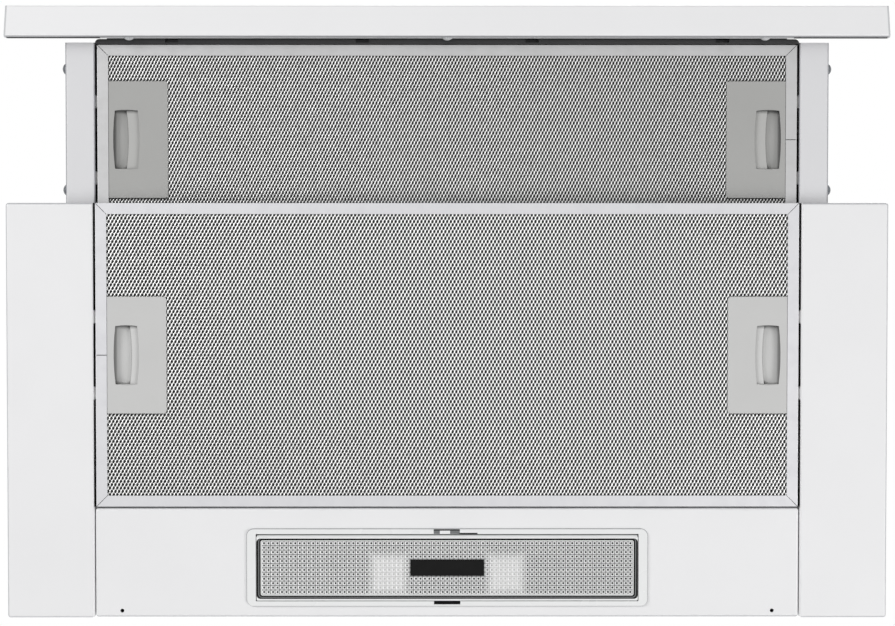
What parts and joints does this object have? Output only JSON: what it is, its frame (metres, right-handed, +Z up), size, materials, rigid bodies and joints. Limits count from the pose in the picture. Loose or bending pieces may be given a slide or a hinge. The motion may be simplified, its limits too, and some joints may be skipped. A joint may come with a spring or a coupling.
{
  "type": "under cabinet range hood",
  "caption": "White slide-out range hood with a pull-out drawer, grease filters with sprung latches, a hinged lamp cover, a blower and a duct collar.",
  "frame": {"origin": "on the axis of the duct collar, at the foot of its tube", "axes": "+X along the width, +Y from the fascia to the wall, +Z up along the duct"},
  "size_m": [0.6, 0.417, 0.2161],
  "materials": {
    "white_enamel": "smooth white powder coat",
    "zinc_steel": "bright zinc",
    "aluminium": "rolled, bare",
    "dark_aluminium": "stacked mesh layers in shade",
    "grey_plastic": "fine satin",
    "black_plastic": "satin",
    "clear_plastic": "clear, prismatic",
    "white_plastic": "gloss",
    "frosted_glass": "frosted",
    "grey_moulding": "as moulded",
    "motor_grey": "satin"
  },
  "bodies": {
    "casing": {"casing_top": "white_enamel", "casing_front": "white_enamel", "casing_rear": "white_enamel", "casing_sides": "white_enamel", "base_left_panel": "white_enamel", "base_right_panel": "white_enamel", "lamp_panel": "white_enamel", "casing_screws": "zinc_steel", "slide_hangers": "zinc_steel", "fixed_rails": "zinc_steel", "motor_bracket": "zinc_steel", "fixed_filter_left_spring": "zinc_steel", "fixed_filter_right_spring": "zinc_steel", "fixed_filter_frame": "aluminium", "fixed_filter_mesh": "aluminium", "fixed_filter_core": "dark_aluminium", "fixed_filter_handles": "grey_plastic", "cable_gland": "black_plastic", "duct_collar": "black_plastic", "lamp_bezel": "white_plastic", "lamp_housing": "white_plastic", "lamp_holders": "white_plastic", "terminal_box": "white_plastic", "lamp_bulbs": "frosted_glass", "scroll_left_half": "grey_moulding", "scroll_right_half": "grey_moulding", "motor": "motor_grey"},
    "drawer": {"fascia": "white_enamel", "fascia_end_caps": "white_enamel", "fascia_screws": "zinc_steel", "front_rail": "black_plastic", "switch_box": "black_plastic", "drawer_left_channel": "white_enamel", "drawer_right_channel": "white_enamel", "channel_screws": "zinc_steel", "drawer_rear_bar": "white_enamel", "drawer_cover": "white_enamel", "moving_rails": "zinc_steel", "drawer_filter_frame": "aluminium", "drawer_filter_mesh": "aluminium", "drawer_filter_core": "dark_aluminium", "drawer_filter_handles": "grey_plastic", "drawer_filter_left_spring": "zinc_steel", "drawer_filter_right_spring": "zinc_steel"},
    "middle_rails": {"middle_rails": "zinc_steel"},
    "fixed_left_latch": {"fixed_filter_left_latch": "grey_plastic"},
    "fixed_right_latch": {"fixed_filter_right_latch": "grey_plastic"},
    "drawer_left_latch": {"drawer_filter_left_latch": "grey_plastic"},
    "drawer_right_latch": {"drawer_filter_right_latch": "grey_plastic"},
    "lamp_cover": {"lamp_cover": "clear_plastic", "lamp_label": "black_plastic"},
    "impeller": {"impeller": "grey_moulding", "motor_shaft": "zinc_steel"},
    "front_flap": {"front_flap": "black_plastic"},
    "rear_flap": {"rear_flap": "black_plastic"},
    "off_button": {"off_button": "black_plastic"},
    "low_button": {"low_button": "black_plastic"},
    "medium_button": {"medium_button": "black_plastic"},
    "high_button": {"high_button": "black_plastic"},
    "light_button": {"light_button": "black_plastic"}
  },
  "joints": [
    {"name": "drawer_slide", "type": "slide", "parent": "casing", "child": "drawer", "axis": [0, 1, 0], "range_m": [0, 0.1094]},
    {"name": "rail_slide", "type": "slide", "parent": "casing", "child": "middle_rails", "axis": [0, 1, 0], "range_m": [0, 0.0547]},
    {"name": "lamp_cover_hinge", "type": "hinge", "parent": "casing", "child": "lamp_cover", "pos_m": [0, 0.087, -0.1766], "axis": [-1, 0, 0], "range_deg": [0, 75]},
    {"name": "impeller_spin", "type": "hinge", "parent": "casing", "child": "impeller", "pos_m": [0, -0.02, -0.0765], "axis": [1, 0, 0], "continuous": true},
    {"name": "rear_flap_hinge", "type": "hinge", "parent": "casing", "child": "rear_flap", "pos_m": [0, 0.004, 0.012], "axis": [1, 0, 0], "range_deg": [0, 80]},
    {"name": "front_flap_hinge", "type": "hinge", "parent": "casing", "child": "front_flap", "pos_m": [0, -0.004, 0.012], "axis": [-1, 0, 0], "range_deg": [0, 80]},
    {"name": "fixed_left_latch_slide", "type": "slide", "parent": "casing", "child": "fixed_left_latch", "axis": [1, 0, 0], "range_m": [0, 0.006], "stiffness_N_per_m": 350, "springref_m": -0.004, "deforming": ["fixed_filter_left_spring"]},
    {"name": "fixed_right_latch_slide", "type": "slide", "parent": "casing", "child": "fixed_right_latch", "axis": [-1, 0, 0], "range_m": [0, 0.006], "stiffness_N_per_m": 350, "springref_m": -0.004, "deforming": ["fixed_filter_right_spring"]},
    {"name": "drawer_left_latch_slide", "type": "slide", "parent": "drawer", "child": "drawer_left_latch", "axis": [1, 0, 0], "range_m": [0, 0.006], "stiffness_N_per_m": 350, "springref_m": -0.004, "deforming": ["drawer_filter_left_spring"]},
    {"name": "drawer_right_latch_slide", "type": "slide", "parent": "drawer", "child": "drawer_right_latch", "axis": [-1, 0, 0], "range_m": [0, 0.006], "stiffness_N_per_m": 350, "springref_m": -0.004, "deforming": ["drawer_filter_right_spring"]},
    {"name": "off_button_press", "type": "slide", "parent": "drawer", "child": "off_button", "axis": [0, 0, -1], "range_m": [0, 0.0024], "stiffness_N_per_m": 250, "springref_m": -0.003},
    {"name": "low_button_press", "type": "slide", "parent": "drawer", "child": "low_button", "axis": [0, 0, -1], "range_m": [0, 0.0024], "stiffness_N_per_m": 250, "springref_m": -0.003},
    {"name": "medium_button_press", "type": "slide", "parent": "drawer", "child": "medium_button", "axis": [0, 0, -1], "range_m": [0, 0.0024], "stiffness_N_per_m": 250, "springref_m": -0.003},
    {"name": "high_button_press", "type": "slide", "parent": "drawer", "child": "high_button", "axis": [0, 0, -1], "range_m": [0, 0.0024], "stiffness_N_per_m": 250, "springref_m": -0.003},
    {"name": "light_button_press", "type": "slide", "parent": "drawer", "child": "light_button", "axis": [0, 0, -1], "range_m": [0, 0.0024], "stiffness_N_per_m": 250, "springref_m": -0.003}
  ],
  "couplings": [
    {"joint": "rail_slide", "follows": "drawer_slide", "ratio": 0.5}
  ]
}
